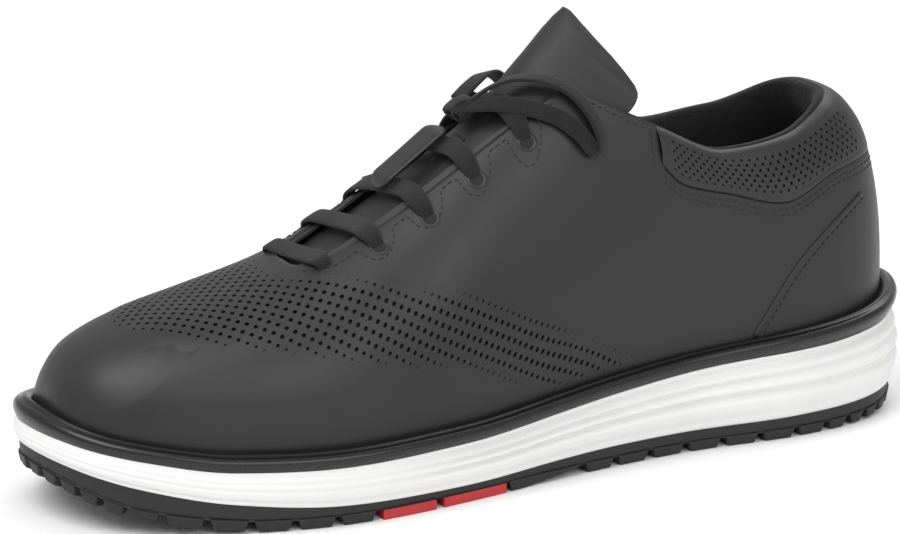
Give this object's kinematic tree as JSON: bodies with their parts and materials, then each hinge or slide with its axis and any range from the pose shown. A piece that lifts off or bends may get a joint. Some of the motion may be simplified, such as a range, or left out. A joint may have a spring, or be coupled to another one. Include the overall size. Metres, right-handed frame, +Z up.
{
  "type": "golf shoe",
  "caption": "Low-cut spikeless golf shoe for the left foot with a perforated coated upper, flat laces, grooved foam midsole, moulded rand and lugged rubber outsole.",
  "frame": {"origin": "middle of the footprint, on the floor under the tread", "axes": "+Z up, -Y toward the toe, +X toward the outer side of the foot"},
  "size_m": [0.1042, 0.3121, 0.145],
  "materials": {
    "tread_rubber": "moulded, matte",
    "red_rubber": "moulded, matte",
    "shank_plastic": "moulded",
    "midsole_foam": "moulded foam, satin skin",
    "rand_rubber": "moulded, satin",
    "board": "stitched fibre board",
    "insole": "knit over foam",
    "upper": "smooth coated microfibre, matte",
    "stiffener": "thermoformed sheet",
    "lining": "spacer knit",
    "padding": "open-cell foam",
    "tongue": "smooth coated microfibre, matte",
    "lace": "flat woven polyester",
    "aglet": "clear-coated film"
  },
  "bodies": {
    "root": {"outsole": "tread_rubber", "traction_insert": "red_rubber", "shank": "shank_plastic", "midsole": "midsole_foam", "rand": "rand_rubber", "lasting_board": "board", "insole_foam": "insole", "insole_cover": "insole", "collar_panel": "upper", "heel_panel": "upper", "vamp": "upper", "quarter_outer": "upper", "quarter_inner": "upper", "toe_puff": "stiffener", "heel_counter": "stiffener", "eyestay_outer": "stiffener", "eyestay_inner": "stiffener", "vamp_lining": "lining", "quarter_lining": "lining", "collar_foam": "padding", "collar_lining": "lining", "tongue_cover": "tongue", "tongue_foam": "padding", "tongue_lining": "lining", "lace": "lace", "lace_keeper": "tongue", "lace_knot": "lace", "lace_loop_outer": "lace", "lace_loop_inner": "lace", "aglets": "aglet"},
    "tongue_top": {"tongue_top_cover": "tongue", "tongue_top_foam": "padding", "tongue_top_lining": "lining"}
  },
  "joints": [
    {"name": "tongue_fold", "type": "hinge", "parent": "root", "child": "tongue_top", "pos_m": [0.001, 0.0098, 0.1194], "axis": [1, 0, 0], "range_deg": [-5, 20], "stiffness_Nm_per_rad": 0.15}
  ]
}
